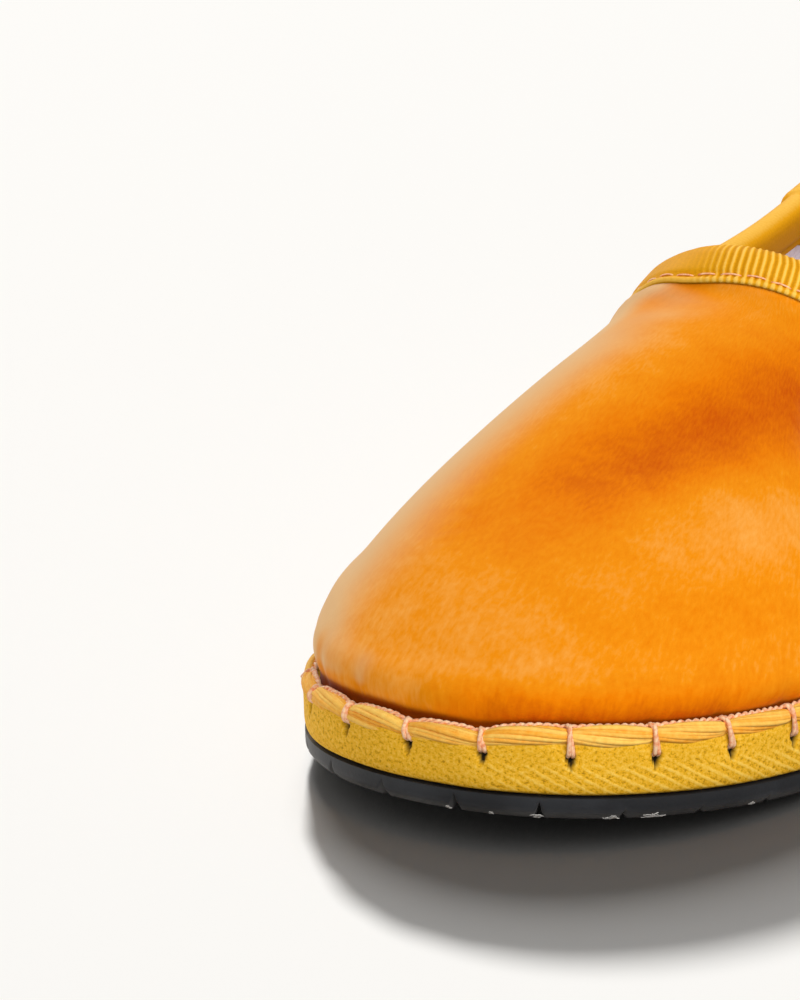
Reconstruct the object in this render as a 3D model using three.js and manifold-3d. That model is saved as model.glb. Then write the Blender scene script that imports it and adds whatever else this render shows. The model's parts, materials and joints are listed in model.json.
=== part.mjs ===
import * as THREE from "three";
import { mergeVertices } from "three/addons/utils/BufferGeometryUtils.js";
import Module from "manifold-3d";

// Ballet flat for a left foot, standing empty on its sole.
// Millimetres, +Z up, floor at z = 0. The toe points to -Y and the little toe's side is +X.

// Sole outline and lift
const LENGTH = 250; // toe tip to heel end
const BALL_WIDTH = 87.5; // widest place of the sole
const TOE_ROUND = 62; // length over which the toe rounds off
const TOE_POWER = { outer: 1.93, inner: 2.3 }; // the big toe's side is the fuller one
const HEEL_ROUND = 38; // length over which the heel rounds off
const HEEL_POWER = 2.2;
const TOE_SPRING = 5.2; // rise of the toe tip off the floor
const SPRING_LENGTH = 83; // toe tip to the first contact with the floor
const ARCH_RISE = 1.6; // lift of the waist between forefoot and heel
const ARCH_FROM = 112;
const ARCH_TO = 182;
const HEEL_RISE = 1; // lift of the heel's end
const HEEL_RISE_FROM = 226;

// Layers of the sole
const RUBBER = 3.4; // outsole thickness
const TREAD_GROOVE = 1.4; // depth of the groove that sets off the edge lugs
const NICK_WIDTH = 1.6; // V-shaped nick between two edge lugs
const NICK_HEIGHT = 2.4;
const NICK_REACH = 8; // the nick runs in to the tread groove
const NICKS_PER_SIDE = 23;
const TAPE = 10.5; // height of the tape-wrapped midsole
const LIP = 1.5; // the tape's top edge stands this high round the upper
const INSOLE = 2.5; // thickness of the sock
const FIT = 0.3; // gap between curved pieces that meet

// Upper and collar
const WALL = 2; // velvet, backing and lining together
const LEDGE = 1.9; // the tape stands this far outside the upper's foot
const THROAT = 104.7; // toe tip to the front of the collar
const THROAT_ROUND = 31.4; // length of the collar's rounded front
const HEEL_TOP = 242.5; // toe tip to the back of the collar
const HEEL_TOP_ROUND = 32;
const DIP = 3.2; // the vamp sinks in front of the throat, and the bound edge stands up from it
const DIP_MIDDLE = 8; // collar edge to the deepest place of the dip
const DIP_REACH = { outer: 0.21, inner: 0.09 }; // share of the loop, from the toe, on each side
const RIBBON = 0.8; // ribbon thickness
const FLANGE = { outside: 6.2, inside: 5.4 }; // ribbon below the collar edge, on each face
const LAP = 0.7; // extra thickness where the ribbon's ends overlap
const LAP_FROM = 186;
const LAP_TO = 198;

// Resolution
const AROUND = 80; // sections around the shoe
const HALF = AROUND / 2;
const OUTER_ROWS = 17; // rows up the outside of the upper, closer at the foot and at the rim
const INNER_ROWS = 11; // rows up its inside

// Half width of the sole as a share of half the ball width, along its length.
const SOLE_ROWS = [
  { at: 0, outer: 0.97, inner: 1.02 },
  { at: 40, outer: 0.98, inner: 0.95 },
  { at: 60, outer: 0.985, inner: 0.947 },
  { at: 90, outer: 1, inner: 0.99 },
  { at: 115, outer: 0.955, inner: 0.905 },
  { at: 145, outer: 0.855, inner: 0.78 },
  { at: 175, outer: 0.785, inner: 0.722 },
  { at: 215, outer: 0.75, inner: 0.715 },
  { at: LENGTH, outer: 0.73, inner: 0.71 },
];

// Half width and height of the collar edge, along its length behind the throat.
const COLLAR_ROWS = [
  { at: 0, outer: 23.3, inner: 23.2, height: 60.3 },
  { at: 6, outer: 23.5, inner: 23.3, height: 55.6 },
  { at: 14, outer: 23.8, inner: 23.5, height: 50.8 },
  { at: 24, outer: 24.1, inner: 23.6, height: 47.4 },
  { at: 38, outer: 24.5, inner: 23.7, height: 45.7 },
  { at: 62, outer: 24.8, inner: 23.8, height: 45.1 },
  { at: 90, outer: 24.6, inner: 23.5, height: 46.8 },
  { at: 115, outer: 23.8, inner: 22.8, height: 51.4 },
  { at: HEEL_TOP - THROAT, outer: 22.2, inner: 21.8, height: 58 },
];

// Meridians of the last, by share of the loop from the toe (0) to the heel (0.5).
// rim is the share of the collar that the meridian climbs to, lean the wall's angle out of
// upright at its foot, slope the angle above level at the rim, and the handles their reach.
const LAST_ROWS = [
  { at: 0, rim: 0, lean: 15.5, footHandle: 12.5, slope: 13, rimHandle: 50 },
  { at: 0.08, rim: 0.023, lean: 17, footHandle: 11.3, slope: 17, rimHandle: 46.5 },
  { at: 0.16, rim: 0.062, lean: 13.5, footHandle: 9.8, slope: 34, rimHandle: 36 },
  { at: 0.26, rim: 0.16, lean: 8.2, footHandle: 12.3, slope: 63, rimHandle: 20.5 },
  { at: 0.36, rim: 0.32, lean: 5, footHandle: 15, slope: 75, rimHandle: 14 },
  { at: 0.5, rim: 0.5, lean: 7, footHandle: 16, slope: 78, rimHandle: 15 },
];

// Edge sections as rings round the sole: inset from the outline, and height over the layer's base.
const OUTSOLE_EDGE = [
  { inset: 10.6, above: 0 },
  { inset: 10, above: TREAD_GROOVE },
  { inset: 8.4, above: TREAD_GROOVE },
  { inset: 7.8, above: 0 },
  { inset: 1.6, above: 0 },
  { inset: 0.4, above: 1.2 },
  { inset: 0.3, above: RUBBER },
];
const MIDSOLE_EDGE = [
  { inset: 1.1, above: FIT },
  { inset: 0.3, above: 0.8 },
  { inset: 0, above: 4 },
  { inset: 0.05, above: TAPE - 2 },
  { inset: 0.4, above: TAPE - 0.5 },
  { inset: 0.85, above: TAPE },
  { inset: 1.3, above: TAPE - 0.4 },
  { inset: 1.4, above: TAPE - LIP },
];
const INSOLE_EDGE = [
  { inset: 4.4, above: FIT },
  { inset: 4.4, above: INSOLE - 0.6 },
  { inset: 5.1, above: INSOLE },
];

const UP = new THREE.Vector3(0, 0, 1);
const clamp = THREE.MathUtils.clamp;
const radians = THREE.MathUtils.degToRad;

// Monotone cubic through one column of a table; endSlope 0 makes the curve level at both ends.
function smooth(rows, column, x, endSlope = 1) {
  const last = rows.length - 1;
  let i = 0;
  while (i < last - 1 && x > rows[i + 1].at) i += 1;
  const rise = (k) => (rows[k + 1][column] - rows[k][column]) / (rows[k + 1].at - rows[k].at);
  const tangent = (k) => {
    if (k === 0) return endSlope * rise(0);
    if (k === last) return endSlope * rise(last - 1);
    const before = rise(k - 1);
    const after = rise(k);
    return before * after > 0 ? (2 * before * after) / (before + after) : 0;
  };
  const span = rows[i + 1].at - rows[i].at;
  const t = clamp((x - rows[i].at) / span, 0, 1);
  const s = 1 - t;
  const start = rows[i][column] * s * s * (1 + 2 * t) + tangent(i) * span * t * s * s;
  const end = rows[i + 1][column] * t * t * (3 - 2 * t) - tangent(i + 1) * span * t * t * s;
  return start + end;
}

// Share of the full width left where an end rounds off, at a distance from that end.
function roundedEnd(distance, length, power) {
  return Math.sqrt(1 - (1 - clamp(distance / length, 0, 1)) ** power);
}

function soleHalfWidth(side, d) {
  const ends =
    roundedEnd(d, TOE_ROUND, TOE_POWER[side]) * roundedEnd(LENGTH - d, HEEL_ROUND, HEEL_POWER);
  return (BALL_WIDTH / 2) * smooth(SOLE_ROWS, side, d) * ends;
}

function collarHalfWidth(side, d) {
  const ends =
    roundedEnd(d - THROAT, THROAT_ROUND, 2) * roundedEnd(HEEL_TOP - d, HEEL_TOP_ROUND, HEEL_POWER);
  return smooth(COLLAR_ROWS, side, d - THROAT) * ends;
}

function collarHeight(d) {
  return smooth(COLLAR_ROWS, "height", d - THROAT);
}

// Lift of the whole sole: toe spring, arch and heel, flat under the forefoot and the heel.
function lift(d) {
  const toe = clamp((SPRING_LENGTH - d) / SPRING_LENGTH, 0, 1);
  const arch = clamp((d - ARCH_FROM) / (ARCH_TO - ARCH_FROM), 0, 1);
  const heel = clamp((d - HEEL_RISE_FROM) / (LENGTH - HEEL_RISE_FROM), 0, 1);
  return TOE_SPRING * toe ** 2 + ARCH_RISE * Math.sin(Math.PI * arch) ** 2 + HEEL_RISE * heel ** 2;
}

function along(point) {
  return point.y + LENGTH / 2;
}

// One side of a loop round the shoe, from its toe end to its heel end.
class SideCurve extends THREE.Curve {
  constructor(side, from, to, halfWidth, height) {
    super();
    Object.assign(this, { side, from, to, halfWidth, height });
    this.arcLengthDivisions = 600;
  }

  getPoint(t) {
    const d = this.from + ((this.to - this.from) * (1 - Math.cos(Math.PI * t))) / 2;
    const x = this.halfWidth(this.side, d) * (this.side === "outer" ? 1 : -1);
    return new THREE.Vector3(x, d - LENGTH / 2, this.height(d));
  }
}

function bothSides(from, to, halfWidth, height) {
  return {
    outer: new SideCurve("outer", from, to, halfWidth, height),
    inner: new SideCurve("inner", from, to, halfWidth, height),
  };
}

// Points round a loop: toe, outer side, heel, inner side. shareAt says how far along a side to go.
function ringOf(sides, shareAt) {
  return Array.from({ length: AROUND }, (_, i) => {
    const curve = i <= HALF ? sides.outer : sides.inner;
    return curve.getPointAt(shareAt(Math.min(i, AROUND - i) / AROUND) * 2);
  });
}

function outwardsOf(ring) {
  return ring.map((_, i) => {
    const before = ring[(i + AROUND - 1) % AROUND];
    const after = ring[(i + 1) % AROUND];
    return new THREE.Vector3(after.y - before.y, before.x - after.x, 0).normalize();
  });
}

const soleSides = bothSides(0, LENGTH, soleHalfWidth, () => 0);
const soleRing = ringOf(soleSides, (share) => share);
const soleOut = outwardsOf(soleRing);
const collarSides = bothSides(THROAT, HEEL_TOP, collarHalfWidth, collarHeight);
const collarRing = ringOf(collarSides, (share) => smooth(LAST_ROWS, "rim", share));

// Ring at an inset from the sole's outline, at a height over the lifted floor.
function edgeRing(inset, height) {
  return soleRing.map((point, i) => {
    const raised = lift(along(point)) + height;
    return point.clone().addScaledVector(soleOut[i], -inset).addScaledVector(UP, raised);
  });
}

// Triangles between rings laid one after another; a ring has AROUND points.
// Either the last ring joins the first again, or both end rings are closed by strips across.
function skin(rings, joined) {
  const faces = [];
  const id = (r, i) => (r % rings.length) * AROUND + ((i + AROUND) % AROUND);
  const quad = (a, b, c, d) => faces.push(a, b, c, a, c, d);
  const bands = joined ? rings.length : rings.length - 1;
  for (let r = 0; r < bands; r += 1) {
    for (let i = 0; i < AROUND; i += 1) {
      quad(id(r, i), id(r, i + 1), id(r + 1, i + 1), id(r + 1, i));
    }
  }
  if (!joined) {
    const top = rings.length - 1;
    faces.push(id(top, 0), id(top, 1), id(top, -1));
    faces.push(id(0, 0), id(0, -1), id(0, 1));
    for (let i = 1; i < HALF - 1; i += 1) {
      quad(id(top, -i), id(top, i), id(top, i + 1), id(top, -i - 1));
      quad(id(0, -i - 1), id(0, i + 1), id(0, i), id(0, -i));
    }
    faces.push(id(top, HALF + 1), id(top, HALF - 1), id(top, HALF));
    faces.push(id(0, HALF), id(0, HALF - 1), id(0, HALF + 1));
  }
  const geometry = new THREE.BufferGeometry().setFromPoints(rings.flat());
  geometry.setIndex(faces);
  geometry.computeVertexNormals();
  return geometry;
}

function slab(edge, base) {
  return skin(
    edge.map(({ inset, above }) => edgeRing(inset, base + above)),
    false,
  );
}

// Cubic from the foot of the wall to the collar edge, with the vamp's dip below that edge.
class Meridian extends THREE.CubicBezierCurve3 {
  constructor(foot, wall, vamp, rim, dip) {
    super(foot, wall, vamp, rim);
    this.dip = dip;
  }

  getPoint(t, target = new THREE.Vector3()) {
    super.getPoint(t, target);
    const far = target.distanceTo(this.v3) / DIP_MIDDLE;
    target.z -= this.dip * far * Math.exp((1 - far * far) / 2);
    return target;
  }
}

// Meridians of the last, one per section round the shoe.
const FOOT_HEIGHT = RUBBER + TAPE - LIP + FIT;
const footRing = edgeRing(LEDGE, FOOT_HEIGHT);
const meridians = footRing.map((foot, i) => {
  const share = Math.min(i, AROUND - i) / AROUND;
  const read = (column) => smooth(LAST_ROWS, column, share, 0);
  const rim = collarRing[i];
  const inward = rim.clone().sub(foot).setZ(0).normalize();
  const lean = radians(read("lean"));
  const slope = radians(read("slope"));
  const wall = foot
    .clone()
    .addScaledVector(UP, read("footHandle") * Math.cos(lean))
    .addScaledVector(soleOut[i], read("footHandle") * Math.sin(lean));
  const vamp = rim
    .clone()
    .addScaledVector(inward, -read("rimHandle") * Math.cos(slope))
    .addScaledVector(UP, -read("rimHandle") * Math.sin(slope));
  const reach = i <= HALF ? DIP_REACH.outer : DIP_REACH.inner;
  return new Meridian(foot, wall, vamp, rim, DIP * Math.exp(-((share / reach) ** 4)));
});

// Outward normal of the last at a place on a meridian.
function normalAt(i, t) {
  const before = meridians[(i + AROUND - 1) % AROUND].getPoint(t);
  const after = meridians[(i + 1) % AROUND].getPoint(t);
  return after.sub(before).cross(meridians[i].getTangent(t)).normalize();
}

// Ring on the last, pushed out of it by a distance, or into it where that is negative.
function lastRing(t, push) {
  return meridians.map((meridian, i) => meridian.getPoint(t).addScaledVector(normalAt(i, t), push));
}

function upperGeometry() {
  const rows = (count) =>
    Array.from({ length: count + 1 }, (_, r) => THREE.MathUtils.smoothstep(r, 0, count));
  const outside = rows(OUTER_ROWS).map((t) => lastRing(t, 0));
  const inside = rows(INNER_ROWS).map((t) => lastRing(t, -WALL));
  inside[0] = edgeRing(LEDGE + WALL, FOOT_HEIGHT);
  return skin([...outside, ...inside.reverse()], true);
}

// Ribbon folded over the collar edge: down the outside, over the rim, down the inside.
function bindingGeometry() {
  const lapAt = (i) => {
    const d = along(collarRing[i]);
    return i > HALF && d > LAP_FROM && d < LAP_TO ? LAP : 0;
  };
  const below = (drop, push) =>
    meridians.map((meridian, i) => {
      const t = meridian.getUtoTmapping(0, meridian.getLength() - drop);
      return meridian.getPoint(t).addScaledVector(normalAt(i, t), push(i));
    });
  const over = (angle, radius) =>
    meridians.map((meridian, i) => {
      const normal = normalAt(i, 1);
      const centre = meridian.getPoint(1).addScaledVector(normal, -WALL / 2);
      centre.addScaledVector(normal, radius(i) * Math.cos(angle));
      return centre.addScaledVector(meridian.getTangent(1), radius(i) * Math.sin(angle));
    });
  const face = (i) => FIT + RIBBON + lapAt(i);
  const back = (i) => -WALL - face(i);
  const roll = (i) => WALL / 2 + face(i);
  const outside = [FLANGE.outside, FLANGE.outside / 2, 0];
  const inside = [FLANGE.inside, FLANGE.inside / 2, 0];
  const ribbon = [
    ...outside.map((drop) => below(drop, face)),
    ...[0.25, 0.5, 0.75].map((turn) => over(turn * Math.PI, roll)),
    ...inside.toReversed().map((drop) => below(drop, back)),
    ...inside.map((drop) => below(drop, () => -WALL - FIT)),
    over(Math.PI / 2, () => WALL / 2 + FIT),
    ...outside.toReversed().map((drop) => below(drop, () => FIT)),
  ];
  return skin(ribbon, true);
}

const wasm = await Module();
wasm.setup();

function solidOf(geometry) {
  const bare = new THREE.BufferGeometry();
  bare.setAttribute("position", geometry.getAttribute("position"));
  bare.setIndex(geometry.getIndex());
  const merged = mergeVertices(bare);
  const vertProperties = merged.getAttribute("position").array;
  const triVerts = new Uint32Array(merged.getIndex().array);
  return new wasm.Manifold(new wasm.Mesh({ numProp: 3, vertProperties, triVerts }));
}

function geometryOf(solid) {
  const { vertProperties, triVerts } = solid.getMesh();
  const geometry = new THREE.BufferGeometry();
  geometry.setAttribute("position", new THREE.BufferAttribute(vertProperties, 3));
  geometry.setIndex(new THREE.BufferAttribute(triVerts, 1));
  geometry.computeVertexNormals();
  return geometry;
}

// V-shaped prism across the edge of the outsole, at a share of one side's length.
function nick(side, share) {
  const place = soleSides[side].getPointAt(share);
  const tangent = soleSides[side].getTangentAt(share);
  const outward = tangent.clone().cross(UP).multiplyScalar(side === "outer" ? 1 : -1);
  const overshoot = 1;
  const outline = new THREE.Shape()
    .moveTo(-NICK_WIDTH / 2, -overshoot)
    .lineTo(NICK_WIDTH / 2, -overshoot)
    .lineTo(0, NICK_HEIGHT);
  const prism = new THREE.ExtrudeGeometry(outline, {
    depth: NICK_REACH + overshoot,
    bevelEnabled: false,
  });
  const start = place.clone().addScaledVector(outward, -NICK_REACH);
  start.z = lift(along(place));
  const frame = new THREE.Matrix4().makeBasis(UP.clone().cross(outward), UP, outward);
  return prism.applyMatrix4(frame.setPosition(start));
}

// The outer side's nicks start with the one at the toe tip, the inner side's end with the heel's.
function outsoleGeometry() {
  let sole = solidOf(slab(OUTSOLE_EDGE, 0));
  for (let k = 0; k < NICKS_PER_SIDE; k += 1) {
    sole = sole.subtract(solidOf(nick("outer", k / NICKS_PER_SIDE)));
    sole = sole.subtract(solidOf(nick("inner", (k + 1) / NICKS_PER_SIDE)));
  }
  return geometryOf(sole);
}

function piece(name, geometry, color, roughness) {
  const material = new THREE.MeshStandardMaterial({ color, roughness, metalness: 0 });
  const mesh = new THREE.Mesh(geometry, material);
  mesh.name = name;
  return mesh;
}

const shoe = new THREE.Group();
shoe.add(
  piece("outsole", outsoleGeometry(), 0x2d2d30, 0.6),
  piece("midsole", slab(MIDSOLE_EDGE, RUBBER), 0xe1af32, 0.85),
  piece("insole", slab(INSOLE_EDGE, RUBBER + TAPE - LIP), 0xbeafb9, 0.9),
  piece("upper", upperGeometry(), 0xf58c12, 0.9),
  piece("collar_binding", bindingGeometry(), 0xf0b432, 0.7),
);

export default shoe;
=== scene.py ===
import json
from functools import partial
import bpy
import numpy as np
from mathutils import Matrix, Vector

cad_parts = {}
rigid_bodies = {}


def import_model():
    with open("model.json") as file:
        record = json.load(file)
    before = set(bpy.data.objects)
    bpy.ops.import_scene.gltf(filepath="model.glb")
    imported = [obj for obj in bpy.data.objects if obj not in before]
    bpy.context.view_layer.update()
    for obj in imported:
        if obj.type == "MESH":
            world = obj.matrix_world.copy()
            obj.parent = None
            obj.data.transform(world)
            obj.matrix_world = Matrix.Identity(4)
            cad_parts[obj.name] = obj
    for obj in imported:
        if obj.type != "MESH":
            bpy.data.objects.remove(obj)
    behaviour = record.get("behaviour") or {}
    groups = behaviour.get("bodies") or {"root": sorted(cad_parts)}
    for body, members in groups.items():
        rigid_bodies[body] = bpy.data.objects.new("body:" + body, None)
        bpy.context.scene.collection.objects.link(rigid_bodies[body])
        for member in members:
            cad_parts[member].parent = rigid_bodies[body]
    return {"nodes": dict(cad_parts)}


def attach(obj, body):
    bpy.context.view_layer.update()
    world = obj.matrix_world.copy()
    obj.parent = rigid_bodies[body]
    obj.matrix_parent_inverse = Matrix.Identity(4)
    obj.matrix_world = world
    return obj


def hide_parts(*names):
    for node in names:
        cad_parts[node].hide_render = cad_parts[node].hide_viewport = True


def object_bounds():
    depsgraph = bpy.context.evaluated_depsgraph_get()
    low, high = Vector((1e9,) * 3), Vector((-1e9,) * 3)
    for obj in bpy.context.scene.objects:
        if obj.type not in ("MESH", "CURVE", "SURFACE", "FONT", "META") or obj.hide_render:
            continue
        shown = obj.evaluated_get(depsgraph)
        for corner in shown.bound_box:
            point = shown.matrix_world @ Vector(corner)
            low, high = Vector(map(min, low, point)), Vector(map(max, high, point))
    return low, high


# Left ballet flat: velvet upper, ribbon-bound collar, tape-wrapped midsole, rubber outsole.
# Shapes are worked out in millimetres and go into the meshes in metres, in the frame of the solids.
# A place is a share of the way round the shoe from the toe tip, minus on the inner side. A setting with two
# numbers is the middle and the spread of a bell, or the start and the stop of a ramp.

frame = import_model()
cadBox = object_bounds()
mm = 0.001
upward = np.array([0.0, 0.0, 1.0])
nearby = 0.0015  # from a place to a near neighbour, round the shoe or up a meridian
print("frame loaded:", ", ".join(sorted(frame["nodes"])))

# sizes of the last and of the layers under it
last = {
    "length": (cadBox[1].y - cadBox[0].y) / mm,
    "ballWidth": 87.5, "toeRound": 62.0,
    "toePower": {"outer": 1.93, "inner": 2.3},  # the big toe's side is the fuller one
    "heelRound": 38.0, "heelPower": 2.2, "toeSpring": 5.2, "springLength": 83.0, "archRise": 1.6,
    "archFrom": 112.0, "archTo": 182.0, "heelRise": 1.0, "heelRiseFrom": 226.0, "rubber": 3.4,
    "tape": 10.5,
    "lip": 1.5,  # of the tape, round the foot of the upper
    "fit": 0.3,  # gap between two pieces
    "wall": 2.0,
    "ledge": 1.9,  # from the sole's outline in to the foot of the upper
    "throat": 104.7, "throatRound": 31.4, "heelTop": 242.5, "heelTopRound": 32.0,
    "dip": 3.2,  # the vamp sinks in front of the throat, and the bound edge stands up from it
    "dipMiddle": 8.0,  # below the collar edge
    "dipReach": {"outer": 0.21, "inner": 0.09},  # places
}
insoleSeat = last["rubber"] + last["tape"] - last["lip"]
footHeight = insoleSeat + last["fit"]

# half width of the sole as a share of half the ball width, by distance from the toe tip
soleRows = {
    "at": [0, 40, 60, 90, 115, 145, 175, 215, 250],
    "outer": [0.97, 0.98, 0.985, 1, 0.955, 0.855, 0.785, 0.75, 0.73],
    "inner": [1.02, 0.95, 0.947, 0.99, 0.905, 0.78, 0.722, 0.715, 0.71],
}

# half width and height of the collar edge, by distance behind the throat
collarRows = {
    "at": [0, 6, 14, 24, 38, 62, 90, 115, 137.8],
    "outer": [23.3, 23.5, 23.8, 24.1, 24.5, 24.8, 24.6, 23.8, 22.2],
    "inner": [23.2, 23.3, 23.5, 23.6, 23.7, 23.8, 23.5, 22.8, 21.8],
    "height": [60.3, 55.6, 50.8, 47.4, 45.7, 45.1, 46.8, 51.4, 58],
}

# meridians of the last, by share of the loop from the toe (0) to the heel (0.5)
lastRows = {
    "at": [0, 0.08, 0.16, 0.26, 0.36, 0.5],
    "rim": [0, 0.023, 0.062, 0.16, 0.32, 0.5],  # share of the collar that it climbs to
    "lean": [15.5, 17, 13.5, 8.2, 5, 7],  # degrees out of upright at the foot
    "footHandle": [12.5, 11.3, 9.8, 12.3, 15, 16],
    "slope": [13, 17, 34, 63, 75, 78],  # degrees above level at the rim
    "rimHandle": [50, 46.5, 36, 20.5, 14, 15],
}


# monotone cubic through one column of a table: secants meet in their harmonic mean,
# and endSlope scales the tangents at the two ends
def curveThrough(table, column, x, endSlope=1.0):
    at = np.array(table["at"], float)
    value = np.array(table[column], float)
    rise = np.diff(value) / np.diff(at)
    same = rise[:-1] * rise[1:] > 0
    mean = np.where(same, 2 * rise[:-1] * rise[1:] / np.where(same, rise[:-1] + rise[1:], 1), 0)
    tangent = np.concatenate(([endSlope * rise[0]], mean, [endSlope * rise[-1]]))
    i = np.clip(np.searchsorted(at, x, side="right") - 1, 0, len(at) - 2)
    span = at[i + 1] - at[i]
    t = np.clip((x - at[i]) / span, 0, 1)
    q = 1 - t
    start = value[i] * q * q * (1 + 2 * t) + tangent[i] * span * t * q * q
    return start + value[i + 1] * t * t * (3 - 2 * t) - tangent[i + 1] * span * t * t * q


def unit(vectors):
    return vectors / np.linalg.norm(vectors, axis=-1, keepdims=True)


# length run so far along the first axis of a line or a grid of points
def runAlong(points):
    steps = np.linalg.norm(np.diff(points, axis=0), axis=-1)
    return np.concatenate((np.zeros_like(steps[:1]), np.cumsum(steps, axis=0)))


# 0 before start, 1 past stop, an even S between
def ramp(x, start, stop):
    t = np.clip((x - start) / (stop - start), 0, 1)
    return t * t * (3 - 2 * t)


# bell of height 1 round a middle
def bell(x, middle, spread):
    return np.exp(-(((x - middle) / spread) ** 2))


# share of the full width left where an end rounds off: a superellipse quarter
def roundedEnd(distance, length, power):
    return np.sqrt(np.maximum(0, 1 - (1 - np.clip(distance / length, 0, 1)) ** power))


def soleHalfWidth(side, d):
    toe = roundedEnd(d, last["toeRound"], last["toePower"][side])
    heel = roundedEnd(last["length"] - d, last["heelRound"], last["heelPower"])
    return last["ballWidth"] / 2 * curveThrough(soleRows, side, d) * toe * heel


def collarHalfWidth(side, d):
    front = roundedEnd(d - last["throat"], last["throatRound"], 2)
    back = roundedEnd(last["heelTop"] - d, last["heelTopRound"], last["heelPower"])
    return curveThrough(collarRows, side, d - last["throat"]) * front * back


def collarHeight(d):
    return curveThrough(collarRows, "height", d - last["throat"])


# lift of the sole: toe spring, arch and heel, flat under forefoot and heel
def lift(d):
    toe = np.clip(1 - d / last["springLength"], 0, 1)
    arch = np.clip((d - last["archFrom"]) / (last["archTo"] - last["archFrom"]), 0, 1)
    heel = np.clip((d - last["heelRiseFrom"]) / (last["length"] - last["heelRiseFrom"]), 0, 1)
    rise = last["toeSpring"] * toe**2 + last["archRise"] * np.sin(np.pi * arch) ** 2
    return rise + last["heelRise"] * heel**2


# a loop round the shoe keeps, for each side, the length run so far at even turns of a half circle
def measureLoop(start, stop, halfWidth, height):
    turn = np.linspace(0, 1, 2001)
    d = start + (stop - start) * (1 - np.cos(np.pi * turn)) / 2
    loop = {"start": start, "stop": stop, "halfWidth": halfWidth, "height": height, "turn": turn}
    for side in ("outer", "inner"):
        loop[side] = runAlong(np.stack((halfWidth(side, d), d, height(d)), -1))
    return loop


# point of a loop: s runs 0 toe, 0.25 outer side, 0.5 heel, 0.75 inner side,
# and share is how far along that side
def loopPoint(loop, s, share):
    outer = s % 1 <= 0.5
    place = {}
    for side in ("outer", "inner"):
        turn = np.interp(share * loop[side][-1], loop[side], loop["turn"])
        place[side] = loop["start"] + (loop["stop"] - loop["start"]) * (1 - np.cos(np.pi * turn)) / 2
    d = np.where(outer, place["outer"], place["inner"])
    width = np.where(outer, loop["halfWidth"]("outer", d), -loop["halfWidth"]("inner", d))
    return np.stack((width, d - last["length"] / 2, loop["height"](d)), -1)


def halfLoop(s):
    return np.minimum(s % 1, 1 - s % 1)


# place of a loop parameter: -0.5 to 0.5 from the toe tip, the outer side positive
def aroundToe(s):
    return (s + 0.5) % 1 - 0.5


soleLoop = measureLoop(0, last["length"], soleHalfWidth, lambda d: 0 * d)
collarLoop = measureLoop(last["throat"], last["heelTop"], collarHalfWidth, collarHeight)
soleRun = soleLoop["outer"][-1] + soleLoop["inner"][-1]
collarRun = collarLoop["outer"][-1] + collarLoop["inner"][-1]
print(f"sole outline {soleRun:.0f} mm round, collar {collarRun:.0f} mm round")


def alongShoe(points):
    return points[..., 1] + last["length"] / 2


# level direction out of the sole's outline: the chord between near neighbours, turned a quarter
def outwardAt(s):
    chord = loopPoint(soleLoop, s + nearby, 2 * halfLoop(s + nearby))
    chord = chord - loopPoint(soleLoop, s - nearby, 2 * halfLoop(s - nearby))
    return unit(np.stack((chord[..., 1], -chord[..., 0], 0 * chord[..., 0]), -1))


# point at an inset from the sole's outline and a height over the lifted floor
def edgePoint(s, inset, height):
    s, inset, height = np.broadcast_arrays(s, inset, height)
    outline = loopPoint(soleLoop, s, 2 * halfLoop(s))
    raised = lift(alongShoe(outline)) + height
    return outline - inset[..., None] * outwardAt(s) + raised[..., None] * upward


# the four control points of each meridian: foot, wall handle, vamp handle and rim
def lastControls(s):
    half = halfLoop(s)
    turn = {name: curveThrough(lastRows, name, half, 0)[..., None] for name in lastRows if name != "at"}
    foot = edgePoint(s, last["ledge"], footHeight)
    rim = loopPoint(collarLoop, s, 2 * curveThrough(lastRows, "rim", half))
    inward = unit((rim - foot) * [1, 1, 0])
    lean, slope = np.radians(turn["lean"]), np.radians(turn["slope"])
    wall = foot + turn["footHandle"] * (np.cos(lean) * upward + np.sin(lean) * outwardAt(s))
    vamp = rim - turn["rimHandle"] * (np.cos(slope) * inward + np.sin(slope) * upward)
    return foot, wall, vamp, rim


# cubic Bezier up each meridian, t from the foot (0) to the rim (1), lowered by the dip,
# which goes as x exp((1 - x * x) / 2) of the distance x from the rim
def lastPoint(s, t):
    foot, wall, vamp, rim = lastControls(s)
    t = np.asarray(t)[..., None]
    q = 1 - t
    points = q**3 * foot + 3 * q * q * t * wall + 3 * q * t * t * vamp + t**3 * rim
    far = np.linalg.norm(points - rim, axis=-1) / last["dipMiddle"]
    reach = np.where(s % 1 <= 0.5, last["dipReach"]["outer"], last["dipReach"]["inner"])
    dip = last["dip"] * np.exp(-((halfLoop(s) / reach) ** 4))
    return points - (dip * far * np.exp((1 - far * far) / 2))[..., None] * upward


# outward normal and climbing tangent of the last: the way round crossed with the way up
def lastFrame(s, t):
    around = lastPoint(s + nearby, t) - lastPoint(s - nearby, t)
    climb = lastPoint(s, np.minimum(t + nearby, 1)) - lastPoint(s, t - nearby)
    return unit(np.cross(around, climb)), unit(climb)


# t at a drop below the rim, measured down each meridian
def belowRim(s, drop):
    t = np.linspace(1, 0.3, 141)
    run = runAlong(lastPoint(s, t[:, None]))
    after = np.clip((run < drop).sum(axis=0), 1, len(t) - 1)[None]
    low = np.take_along_axis(run, after - 1, 0)[0]
    high = np.take_along_axis(run, after, 0)[0]
    share = (drop - low) / (high - low)
    return t[after[0] - 1] + (t[after[0]] - t[after[0] - 1]) * share


# loop parameter s at an even share c of the way round the collar
def collarParameter(c):
    half = np.linspace(0, 0.5, 801)
    found = np.interp(halfLoop(c), curveThrough(lastRows, "rim", half), half)
    return np.where(c % 1 <= 0.5, found, 1 - found)


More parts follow.
